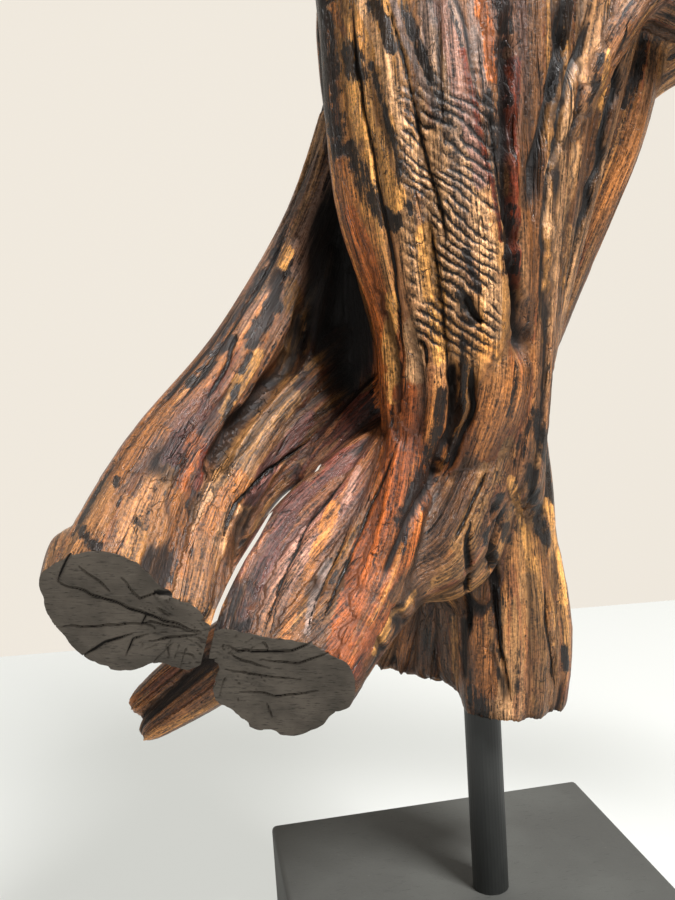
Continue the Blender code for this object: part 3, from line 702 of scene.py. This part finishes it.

# The finish. Stain and varnish brought up each strand in its own colour, with char in streaks and patches;
# the hollows are darkened with painted shade.
# Patches that stand out are drawn on the seen plane as the grooves are: (finish, half width, route).
FINISHES = {
    "gold": (0.74, 0.34, 0.090), "tan": (0.66, 0.350, 0.160), "orange": (0.46, 0.125, 0.026),
    "ochre": (0.42, 0.155, 0.042), "red": (0.18, 0.034, 0.013), "pink": (0.32, 0.160, 0.110),
    "purple": (0.120, 0.045, 0.034), "brown": (0.125, 0.055, 0.023), "olive": (0.26, 0.125, 0.045),
    "grey": (0.27, 0.180, 0.140), "rust": (0.36, 0.092, 0.022), "char": (0.003, 0.0022, 0.0018),
    "honey": (0.48, 0.205, 0.070),
}
PATCHES = [
    ("char", 5.5, [(-60, 459), (-59, 431), (-59, 407), (-57, 388)]),
    ("ochre", 2.0, [(-55, 455), (-50, 443)]),
    ("char", 5.0, [(-47, 435), (-45, 422)]),
    ("char", 2.0, [(-38, 427), (-33, 405), (-28, 385), (-26, 368), (-23, 355)]),
    ("char", 5.5, [(-50, 388), (-45, 370), (-38, 359), (-31, 351)]),
    ("gold", 5.4, [(-46, 415), (-40, 390), (-33, 370), (-30, 362)]),
    ("tan", 3.4, [(-43, 458), (-36, 444), (-31, 424), (-26, 404), (-21, 388), (-18, 369)]),
    ("char", 4.0, [(-34, 455), (-29, 440), (-26, 435)]),
    ("char", 3.4, [(-21, 452), (-17, 440), (-11, 421), (-5, 403), (-2, 385)]),
    ("pink", 5.0, [(-3, 455), (3, 427), (7, 403), (11, 384), (13, 370)]),
    # A painted highlight: a grey streak for the sheen along the top of the trunk's face.
    ("grey", 2.0, [(-26, 457), (-22, 439), (-16, 424), (-10, 409), (-5, 395)]),
    ("char", 1.3, [(0, 455), (5, 439), (8, 422)]),
    ("tan", 9.0, [(-12, 388), (-7, 352), (-4, 312)]),
    ("gold", 5.0, [(-18, 345), (-14, 318), (-12, 285)]),
    ("tan", 5.0, [(10, 355), (14, 325), (16, 295)]),
    ("red", 1.8, [(7, 431), (11, 403), (15, 383), (18, 362), (21, 340)]),
    ("orange", 3.4, [(16, 454), (19, 435), (20, 418)]),
    ("char", 3.0, [(18, 410), (19, 393), (21, 373)]),
    ("red", 2.4, [(32, 425), (30, 392), (29, 359), (28, 329), (28, 305)]),
    ("brown", 4.5, [(43, 453), (42, 425), (38, 392), (35, 358)]),
    ("char", 4.0, [(58, 450), (53, 425), (48, 408)]),
    ("tan", 2.5, [(62, 424), (58, 408), (55, 391), (46, 371), (45, 340)]),
    ("gold", 1.5, [(77, 427), (74, 408), (71, 390)]),
    ("brown", 4.0, [(68, 397), (64, 366), (58, 347)]),
    ("orange", 4.0, [(-52, 358), (-46, 334), (-42, 304), (-43, 265)]),
    ("gold", 3.0, [(-35, 314), (-37, 289), (-36, 264)]),
    ("tan", 5.0, [(-25, 302), (-25, 275)]),
    ("char", 2.5, [(3, 335), (8, 317)]),
    ("char", 3.2, [(0, 314), (5, 300)]),
    ("char", 3.2, [(-12, 266), (-16, 248), (-23, 231), (-32, 212)]),
    ("char", 2.6, [(-1, 278), (-2, 261), (-6, 246), (-11, 230)]),
    ("brown", 7.0, [(0, 226), (-11, 205), (-25, 180), (-37, 159)]),
    ("olive", 4.0, [(9, 226), (2, 205), (-8, 186)]),
    ("ochre", 5.0, [(7, 262), (10, 248), (8, 235)]),
    ("rust", 6.0, [(-30, 266), (-27, 250), (-32, 238)]),
    ("char", 3.5, [(-12, 241), (-20, 227), (-29, 213), (-38, 200)]),
    ("char", 3.0, [(34, 253), (39, 227), (40, 207)]),
    ("char", 4.5, [(-87, 335), (-93, 317), (-100, 307), (-108, 296)]),
    ("gold", 2.5, [(-85, 340), (-88, 334)]),
    ("olive", 4.5, [(-85, 323), (-82, 303), (-90, 291)]),
    ("char", 3.0, [(-115, 299), (-126, 293), (-131, 284), (-139, 279)]),
    ("gold", 3.5, [(-104, 290), (-116, 274), (-123, 263)]),
    ("char", 2.0, [(-108, 291), (-112, 283)]),
    ("char", 2.0, [(-115, 276), (-120, 267), (-122, 260)]),
    ("purple", 6.0, [(-129, 267), (-140, 255), (-151, 244)]),
    ("orange", 4.5, [(-138, 249), (-145, 230), (-150, 214)]),
    ("red", 2.0, [(-134, 245), (-140, 225)]),
    ("ochre", 5.5, [(-153, 267), (-166, 252), (-179, 235)]),
    ("char", 2.0, [(-180, 233), (-181, 230)]),
    ("char", 2.0, [(-172, 210), (-167, 207)]),
    ("honey", 7.0, [(-162, 224), (-160, 204)]),
    ("ochre", 6.0, [(-150, 222), (-149, 200), (-148, 182)]),
    ("honey", 4.0, [(-175, 221), (-179, 206)]),
    ("char", 3.5, [(-201, 208), (-195, 199)]),
    ("olive", 5.5, [(-90, 268), (-107, 253), (-119, 240), (-128, 222)]),
    ("purple", 4.0, [(-81, 257), (-93, 244), (-104, 232), (-113, 217)]),
    ("ochre", 6.0, [(-118, 227), (-131, 213), (-140, 197)]),
    ("honey", 6.5, [(-138, 192), (-142, 173), (-149, 164)]),
    ("brown", 4.0, [(-121, 207), (-128, 187), (-136, 165)]),
    ("purple", 4.0, [(-86, 221), (-99, 201), (-112, 175), (-121, 159)]),
    # A painted highlight: a grey streak for the sheen on the middle root.
    ("grey", 2.5, [(-76, 183), (-85, 162), (-89, 146)]),
    ("ochre", 3.5, [(-70, 210), (-81, 188), (-95, 162), (-101, 142)]),
    ("rust", 7.0, [(-35, 243), (-43, 218), (-56, 187), (-68, 151), (-76, 123)]),
    # A painted highlight: a pale pink streak at the top-left of the red root.
    ("pink", 2.0, [(-57, 230), (-64, 213)]),
    ("gold", 2.0, [(-33, 163), (-46, 150), (-55, 133)]),
    ("olive", 3.0, [(20, 239), (11, 219), (-1, 194), (-10, 173)]),
    ("brown", 4.5, [(-16, 211), (-29, 180), (-42, 160)]),
    ("char", 3.0, [(-28, 221), (-19, 228)]),
    ("char", 3.5, [(7, 194), (9, 163), (12, 156)]),
    ("char", 3.0, [(14, 210), (17, 188)]),
    ("gold", 2.5, [(20, 219), (25, 198), (29, 174)]),
    ("char", 3.5, [(30, 224), (33, 203), (37, 185)]),
    ("gold", 2.0, [(38, 207), (44, 175), (45, 153)]),
    ("ochre", 5.5, [(0, 136), (5, 108)]),
    ("char", 4.2, [(27, 458), (27, 426), (25, 393), (24, 359), (26, 325)]),
    ("char", 2.0, [(44, 128), (45, 117)]),
    ("olive", 5.0, [(28, 166), (31, 134), (31, 106)]),
]
LOOK_STEPS = 24
JOIN_WIDTH = 0.5
looks = []
for number, (name, _) in enumerate(strands):
    words = STRAND_LOOKS.get(name, UNSEEN_LOOKS[number % len(UNSEEN_LOOKS)]).split()
    stops = np.array([FINISHES[word] for word in words])
    looks.append([np.interp(np.linspace(0, 1, LOOK_STEPS), np.linspace(0, 1, len(stops)), stops[:, c])
                  for c in range(3)])
looks = np.array(looks).transpose(0, 2, 1)
slip = share + 0.10 * grain_noise(around / 6, along / 70, 20) + 0.05 * grain_noise(around / 2, along / 30, 21)
slip = np.clip(slip * (LOOK_STEPS - 1), 0, LOOK_STEPS - 1.001)
step = slip.astype(int)
slip = (slip - step)[..., None]
tint = ((looks[strand, step] * (1 - slip) + looks[strand, step + 1] * slip) * main[..., None]).sum(0)
stains = np.array([FINISHES[word] for word in ("gold", "brown", "ochre", "red", "olive", "brown")])
which = np.clip((on_grain(6, 90, 22) + 0.7) / 1.4 * len(stains), 0, len(stains) - 1).astype(int)
mix = (0.42 * rise(np.abs(on_grain(4, 70, 23)), 0.1, 0.45))[:, None]
tint = tint * (1 - mix) + stains[which] * mix

burn = 0.85 * rise(on_grain(4.5, 75, 26) + 0.4 * on_grain(2, 30, 27), 0.36, 0.90)
ragged = 0.30 * on_grain(1.7, 20, 31) + 0.25 * on_grain(4.5, 36, 32)
ragged += 0.2 * grain_noise(seen_x / 3, seen_z / 4, 33)
patch, patch_share = tint.copy(), np.zeros(count)
for finish, half_width, route in PATCHES:
    gap, _ = gap_to(route, seen_x, seen_z)
    soft = (1 - rise(gap / half_width + ragged, 0.35, 1.45)) * facing
    if finish == "char":
        burn = np.maximum(burn, soft)
    else:
        patch += (np.array(FINISHES[finish]) - patch) * rise(soft, 0.1, 0.5)[:, None]
        patch_share = np.maximum(patch_share, soft)
        burn *= 1 - 0.85 * soft
tone_and_hollow_shade = 1 + 0.30 * on_grain(4.2, 90, 25)
# Painted shade: the colour is also darker where the relief is low, in the hollows; the rest of its change is
# the wood's random tone.
tone_and_hollow_shade *= 0.42 + 0.85 * rise(height + carved, -1.2, 1.3)
# Painted shade: the colour is darkened where shade falls, in the furrows, in the creases between strands, in
# the wider grooves and in the cavity behind the left rim.
furrow_shade = 0.7 * furrows * (1 - 0.5 * rippled) * (1 - 0.85 * patch_share)
hollow_shade = np.maximum.reduce([furrow_shade, 0.46 * creased, shadow, cavity])

points = kdtree.KDTree(count)
for k, co in enumerate(place):
    points.insert(co, k)
points.balance()
kept = np.empty(len(sawn.vertices) * 3)
sawn.vertices.foreach_get("co", kept)
kept = kept.reshape(-1, 3)
match = np.array([points.find(co)[1] for co in kept])
gape = np.minimum(drying(*seen_at(kept)), 9)
grain_place = np.column_stack([around[0], along[0], strand[0] * 10]) * 0.001
for name, kind, key, values in (
    ("tint", "FLOAT_COLOR", "color", np.column_stack([tint * tone_and_hollow_shade[:, None], np.ones(count)])[match]),
    ("patch", "FLOAT_COLOR", "color", np.column_stack([patch * tone_and_hollow_shade[:, None], np.ones(count)])[match]),
    ("grain", "FLOAT_VECTOR", "vector", grain_place[match]),
    ("patch_share", "FLOAT", "value", patch_share[match]),
    ("ripple_count", "FLOAT", "value", ripple_count[match]),
    ("rippled", "FLOAT", "value", rippled[match]),
    ("burn", "FLOAT", "value", burn[match]),
    ("hollow_shade", "FLOAT", "value", hollow_shade[match]),
    ("join", "FLOAT", "value", np.exp(-(crevice / JOIN_WIDTH) ** 2)[match]),
    ("rift", "FLOAT", "value", rift[match]),
    ("gape", "FLOAT", "value", gape),
):
    sawn.attributes.new(name, kind, "POINT").data.foreach_set(key, values.astype(np.float32).ravel())
sawn.shade_smooth()

LIFT = Matrix.Translation(((ROD_BOX[0][0] + ROD_BOX[1][0]) / 2, 0, BLOCK_BOX[1][2]))
sawn.transform(LIFT @ Matrix.Rotation(WOOD_TURN, 4, "Z") @ Matrix.Scale(0.001, 4))


class Socket:
    """A shader socket that takes arithmetic: each operation adds its Math node."""

    def __init__(self, tree, link):
        self.tree, self.link = tree, link

    def maths(self, operation, left, right):
        return node(self.tree, "ShaderNodeMath", {"operation": operation}, {0: left, 1: right})

    def __add__(self, right):
        return self.maths("ADD", self, right)

    def __radd__(self, left):
        return self.maths("ADD", left, self)

    def __sub__(self, right):
        return self.maths("SUBTRACT", self, right)

    def __rsub__(self, left):
        return self.maths("SUBTRACT", left, self)

    def __mul__(self, right):
        return self.maths("MULTIPLY", self, right)

    def __rmul__(self, left):
        return self.maths("MULTIPLY", left, self)

    def __abs__(self):
        return self.maths("ABSOLUTE", self, 0.0)

    def above(self, low, high):
        """0 below low and 1 above high, smooth between; the other way round where low is higher."""
        return node(self.tree, "ShaderNodeMapRange", {"interpolation_type": "SMOOTHSTEP"},
                    {"Value": self, "From Min": low, "From Max": high})


def node(tree, kind, settings=None, values=None, output=0):
    """Adds a node: its settings first, then its sockets' values or links; gives one output."""
    added = tree.nodes.new(kind)
    for key, value in (settings or {}).items():
        setattr(added, key, value)
    for key, value in (values or {}).items():
        if isinstance(value, Socket):
            tree.links.new(value.link, added.inputs[key])
        else:
            added.inputs[key].default_value = value
    return Socket(tree, added.outputs[output])


def blend(tree, share, one, other):
    """Colours one and other mixed by a share."""
    return node(tree, "ShaderNodeMix", {"data_type": "RGBA"}, {0: share, 6: one, 7: other}, output=2)


def noise(tree, where, stretch, detail=3.0, rough=0.55):
    spread = node(tree, "ShaderNodeMapping", {}, {"Vector": where, "Scale": stretch})
    return node(tree, "ShaderNodeTexNoise", {},
                {"Vector": spread, "Scale": 1.0, "Detail": detail, "Roughness": rough})


def principled(material, **fixed):
    material.use_nodes = True
    shader = material.node_tree.nodes["Principled BSDF"]
    for key, value in fixed.items():
        shader.inputs[key.replace("_", " ")].default_value = value
    return material.node_tree, shader


def feed(tree, shader, **sockets):
    for key, value in sockets.items():
        tree.links.new(value.link, shader.inputs[key.replace("_", " ")])


def attribute(tree, name, output):
    return node(tree, "ShaderNodeAttribute", {"attribute_name": name}, output=output)


tree, shader = principled(bark_finish, Specular_IOR_Level=0.42)
grain = attribute(tree, "grain", 1)
spot = node(tree, "ShaderNodeTexCoord", {}, output=3)
plain_grain = 1 - attribute(tree, "join", 2)
grit = noise(tree, spot, (750, 750, 750), detail=4, rough=0.65)
clod = noise(tree, spot, (210, 210, 210), detail=3)
fibre = 0.5 + (noise(tree, grain, (1300, 60, 40), detail=4, rough=0.62) - 0.5) * plain_grain
streak = 0.5 + (noise(tree, grain, (420, 15, 40)) - 0.5) * plain_grain
fleck = noise(tree, grain, (900, 190, 40), detail=5, rough=0.7)
wander = node(tree, "ShaderNodeTexNoise", {}, {"Vector": spot, "Scale": 140.0, "Detail": 4.0}, output=1)
wander = node(tree, "ShaderNodeVectorMath", {"operation": "MULTIPLY_ADD"},
              {0: wander, 1: (0.004, 0.012, 0), 2: grain})
check = node(tree, "ShaderNodeMapping", {}, {"Vector": wander, "Scale": (290, 75, 40)})
check = node(tree, "ShaderNodeTexVoronoi", {"feature": "DISTANCE_TO_EDGE"}, {"Vector": check, "Scale": 1.0})
check = check.above(0.024, 0.006) * noise(tree, grain, (70, 16, 40), detail=2).above(0.50, 0.60) * plain_grain
hairline = abs(noise(tree, grain, (210, 8, 40), detail=2) - 0.5).above(0.013, 0.004)
hairline = hairline * noise(tree, grain, (110, 18, 40), detail=1).above(0.50, 0.60) * plain_grain
patched = (attribute(tree, "patch_share", 2) + (fibre - 0.5) * 1.8 + (grit - 0.5) * 0.9).above(0.38, 0.58)
tint = blend(tree, patched, attribute(tree, "tint", 0), attribute(tree, "patch", 0))
stained = (noise(tree, grain, (60, 15, 40), detail=5, rough=0.65) + (clod - 0.5) * 0.5).above(0.50, 0.66)
stain = blend(tree, clod.above(0.35, 0.65), (0.060, 0.026, 0.018, 1), (0.17, 0.066, 0.026, 1))
tint = blend(tree, stained * 0.55, tint, stain)
shade = 0.03 + fibre.above(0.42, 0.62) * 0.86
shade = shade + streak.above(0.41, 0.62) * 0.66 + grit.above(0.40, 0.62) * 0.60
shaded = node(tree, "ShaderNodeVectorMath", {"operation": "SCALE"}, {0: tint, "Scale": shade})
charred = attribute(tree, "burn", 2) * 0.85 + (fibre - 0.5) * 2.2 + (streak - 0.5) * 1.2 + (clod - 0.5) * 1.6
charred = (charred + (grit - 0.5) * 0.8).above(0.42, 0.62)
# Painted shade: the hollows and the troughs of the ripples are darkened to the char's near black, along with
# the char and the cracks.
sunk_shade = (attribute(tree, "hollow_shade", 2) + (fibre - 0.5) * 1.3 + (grit - 0.5) * 0.5).above(0.25, 0.80)
split = (attribute(tree, "rift", 2) + (fibre - 0.5) * 1.5).above(1.15, 0.55)
turned = (attribute(tree, "ripple_count", 2) + (fleck - 0.5) * 0.9 + (grit - 0.5) * 0.5) * math.tau
ripple = node(tree, "ShaderNodeMath", {"operation": "SINE"}, {0: turned}) * attribute(tree, "rippled", 2)
pore = fleck.above(0.45, 0.36)
trough_shade = ripple.above(-0.12, -0.75)
dark = charred * 0.97
for mark in (sunk_shade * 0.97, hairline * 0.9, split * 0.98, check * 0.8, pore * 0.55, trough_shade * 0.95):
    dark = node(tree, "ShaderNodeMath", {"operation": "MAXIMUM"}, {0: dark, 1: mark})
char_and_shade_black = blend(tree, streak.above(0.46, 0.62) * charred, (*FINISHES["char"], 1), (0.009, 0.006, 0.005, 1))
colour = blend(tree, dark, shaded, char_and_shade_black)
relief = fibre * 1.2 + fleck * 0.6 + grit * 0.6 + ripple * 0.5
relief = relief - hairline * 1.2 - split * 1.5 - check - charred * 0.3
bump = node(tree, "ShaderNodeBump", {}, {"Strength": 1.0, "Distance": 0.0006, "Height": relief})
feed(tree, shader, Base_Color=colour, Normal=bump,
     Roughness=0.22 + fleck.above(0.4, 0.7) * 0.14 + streak.above(0.60, 0.42) * 0.16 + sunk_shade * 0.3)

tree, shader = principled(sawn_finish, Specular_IOR_Level=0.25)
spot = node(tree, "ShaderNodeTexCoord", {}, output=3)
dust = noise(tree, spot, (60, 60, 60), detail=6)
marks = noise(tree, spot, (190, 500, 1500), detail=4, rough=0.6)
scratch = noise(tree, spot, (90, 300, 2600), detail=2)
end_grain = blend(tree, dust.above(0.3, 0.7), (0.080, 0.067, 0.054, 1), (0.145, 0.121, 0.098, 1))
end_grain = blend(tree, marks.above(0.56, 0.68) * 0.75, end_grain, (0.030, 0.026, 0.022, 1))
end_grain = blend(tree, scratch.above(0.62, 0.70) * 0.45, end_grain, (0.180, 0.156, 0.130, 1))
gaping = (attribute(tree, "gape", 2) + (marks - 0.5) * 1.4).above(1.1, 0.5)
end_grain = blend(tree, gaping * 0.96, end_grain, (0.010, 0.008, 0.007, 1))
rough = dust * 0.5 - marks.above(0.5, 0.7) + scratch * 0.3
bump = node(tree, "ShaderNodeBump", {}, {"Strength": 0.45, "Distance": 0.0005, "Height": rough})
feed(tree, shader, Base_Color=end_grain, Roughness=0.74 + dust * 0.2, Normal=bump)

# The one piece of wood is parted level into seven meshes, so that none is too heavy.
# Each is closed at its joins, which don't show. The heights are above the block.
PARTINGS = (180, 225, 300, 365, 430, 500)


def cut_level(shape, high, **side):
    """Cuts away one side of the shape at a height, and closes it there."""
    whole = shape.verts[:] + shape.edges[:] + shape.faces[:]
    cut_at = (0, 0, BLOCK_BOX[1][2] + high * 0.001)
    bmesh.ops.bisect_plane(shape, geom=whole, plane_co=cut_at, plane_no=(0, 0, 1), dist=1e-7, **side)
    rim = [edge for edge in shape.edges if edge.is_boundary]
    bmesh.ops.holes_fill(shape, edges=rim, sides=0)
    for edge in rim:
        edge.smooth = False


rest = bmesh.new()
rest.from_mesh(sawn)
for number, high in enumerate((*PARTINGS, None)):
    if high is None:
        part = rest
    else:
        part = rest.copy()
        cut_level(part, high, clear_outer=True)
        cut_level(rest, high, clear_inner=True)
    data = bpy.data.meshes.new(f"driftwood_{number + 1}")
    part.to_mesh(data)
    part.free()
    data.materials.append(bark_finish)
    data.materials.append(sawn_finish)
    piece = shown(data.name, data)
    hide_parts("driftwood_horse")
    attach(piece, "root")

# The rod. A round steel bar, painted satin black, scuffed a little where it was handled.
# It goes up from the block into the wood, and both ends are glued in.
rod_finish = bpy.data.materials.new("satin_black_steel")
tree, shader = principled(rod_finish, Specular_IOR_Level=0.5)
spot = node(tree, "ShaderNodeTexCoord", {}, output=3)
smear = noise(tree, spot, (35, 35, 14), detail=5)
scuffs = noise(tree, spot, (90, 90, 900), detail=6, rough=0.7)
metal = blend(tree, smear.above(0.35, 0.7), (0.013, 0.014, 0.013, 1), (0.026, 0.027, 0.025, 1))
metal = blend(tree, scuffs.above(0.68, 0.74) * 0.5, metal, (0.16, 0.15, 0.13, 1))
brushed = smear + scuffs * 0.5
bump = node(tree, "ShaderNodeBump", {}, {"Strength": 0.25, "Distance": 0.0004, "Height": brushed})
feed(tree, shader, Base_Color=metal, Roughness=0.36 + smear * 0.25, Normal=bump)
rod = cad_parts["rod"]
rod.data.materials.clear()
rod.data.materials.append(rod_finish)

# The block. A square of close-grained wood with eased edges, brushed with charcoal paint.
# Its pores and a few dents still show through the paint.
block_finish = bpy.data.materials.new("charcoal_painted_wood")
tree, shader = principled(block_finish, Specular_IOR_Level=0.3)
spot = node(tree, "ShaderNodeTexCoord", {}, output=3)
cloud = noise(tree, spot, (14, 14, 14), detail=4)
pores = noise(tree, spot, (120, 1500, 1500), rough=0.6)
specks = noise(tree, spot, (420, 420, 420), detail=2)
paint = blend(tree, cloud.above(0.3, 0.7), (0.060, 0.060, 0.055, 1), (0.080, 0.081, 0.074, 1))
paint = blend(tree, pores.above(0.64, 0.70) * 0.6, paint, (0.020, 0.020, 0.018, 1))
paint = blend(tree, specks.above(0.70, 0.76) * 0.35, paint, (0.12, 0.12, 0.11, 1))
dents = specks * 0.3 - pores.above(0.6, 0.7)
bump = node(tree, "ShaderNodeBump", {}, {"Strength": 0.4, "Distance": 0.0005, "Height": dents})
feed(tree, shader, Base_Color=paint, Roughness=0.58 + cloud * 0.25, Normal=bump)
EASED_EDGE = 0.003
low, high = (Vector(corner) for corner in BLOCK_BOX)
filling = Matrix.Translation((low + high) / 2) @ Matrix.Diagonal((*(high - low), 1))
form = bmesh.new()
bmesh.ops.create_cube(form, size=1, matrix=filling)
bmesh.ops.bevel(form, geom=form.edges[:], offset=EASED_EDGE, segments=4, profile=0.5, affect="EDGES",
                material=-1)
data = bpy.data.meshes.new("painted_block")
form.to_mesh(data)
form.free()
data.shade_smooth()
data.set_sharp_from_angle(angle=math.radians(60))
data.materials.append(block_finish)
block = shown("painted_block", data)
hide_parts("base_block")
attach(block, "root")

# The table and the wall. A white table top runs back to its edge, and a pale wall stands a good way behind.
# They are only there to stand the work on and to hold the light. Both glow a little, as in a bright room.
TABLE = ((-2, -1.5, 0), (2.6, -1.5, 0), (2.6, 0.418, 0), (-2, 0.892, 0))
WALL = ((-7, 3.2, -3), (7, 3.2, -3), (7, 3.2, 5), (-7, 3.2, 5))
for name, colour, shine, corners in (
    ("table", (0.30, 0.30, 0.295), (0.51, 0.52, 0.49), TABLE),
    ("wall", (0.08, 0.075, 0.07), (0.84, 0.785, 0.70), WALL),
):
    sheet = bmesh.new()
    sheet.faces.new([sheet.verts.new(corner) for corner in corners])
    data = bpy.data.meshes.new(name)
    sheet.to_mesh(data)
    sheet.free()
    finish = bpy.data.materials.new(name)
    principled(finish, Base_Color=(*colour, 1), Roughness=0.8, Specular_IOR_Level=0.1,
               Emission_Color=(*shine, 1), Emission_Strength=1.0)
    data.materials.append(finish)
    shown(name, data)

# The camera stands where the photograph was taken from: close, a little above the roots.
# It looks down a little, and was held slightly askew.
CAMERA = Vector((-0.1376, -0.4626, 0.2935 + BLOCK_BOX[1][2]))
YAW, PITCH, ROLL = math.radians(9.54), math.radians(6.36), math.radians(-3.73)
ahead = Vector((math.sin(YAW) * math.cos(PITCH), math.cos(YAW) * math.cos(PITCH), -math.sin(PITCH)))
across = Vector((math.cos(YAW), -math.sin(YAW), 0))
upright = across.cross(ahead)
right = across * math.cos(ROLL) + upright * math.sin(ROLL)
camera = shown("camera", bpy.data.cameras.new("camera"))
camera.data.sensor_width = 36
camera.data.lens = 38.0
camera.data.clip_start = 0.01
held = Matrix((right, right.cross(ahead), -ahead)).transposed().to_4x4()
camera.matrix_world = Matrix.Translation(CAMERA) @ held
bpy.context.scene.camera = camera
bpy.context.scene.view_settings.view_transform = "Standard"

# The light: a big soft window high up in front and to the right, a weak fill on the left, a weak ceiling
# light over the back, and a dim room.
world = bpy.data.worlds.new("room")
bpy.context.scene.world = world
world.use_nodes = True
world.node_tree.nodes["Background"].inputs["Color"].default_value = (1.0, 0.97, 0.94, 1)
world.node_tree.nodes["Background"].inputs["Strength"].default_value = 0.045
for name, spot, aim, wide, power in (
    ("window", (0.58, -1.00, 1.85), (0, 0, 0.3), 0.50, 82),
    ("ceiling", (0.3, 0.3, 1.9), (0.3, 0.3, 0), 0.8, 6),
    ("fill", (-1.3, -0.9, 0.8), (-0.05, 0, 0.3), 0.4, 2),
):
    lamp = bpy.data.lights.new(name, "AREA")
    lamp.shape = "SQUARE"
    lamp.size = wide
    lamp.energy = power
    holder = shown(name, lamp)
    turned = (Vector(spot) - Vector(aim)).to_track_quat("Z", "Y").to_matrix().to_4x4()
    holder.matrix_world = Matrix.Translation(spot) @ turned
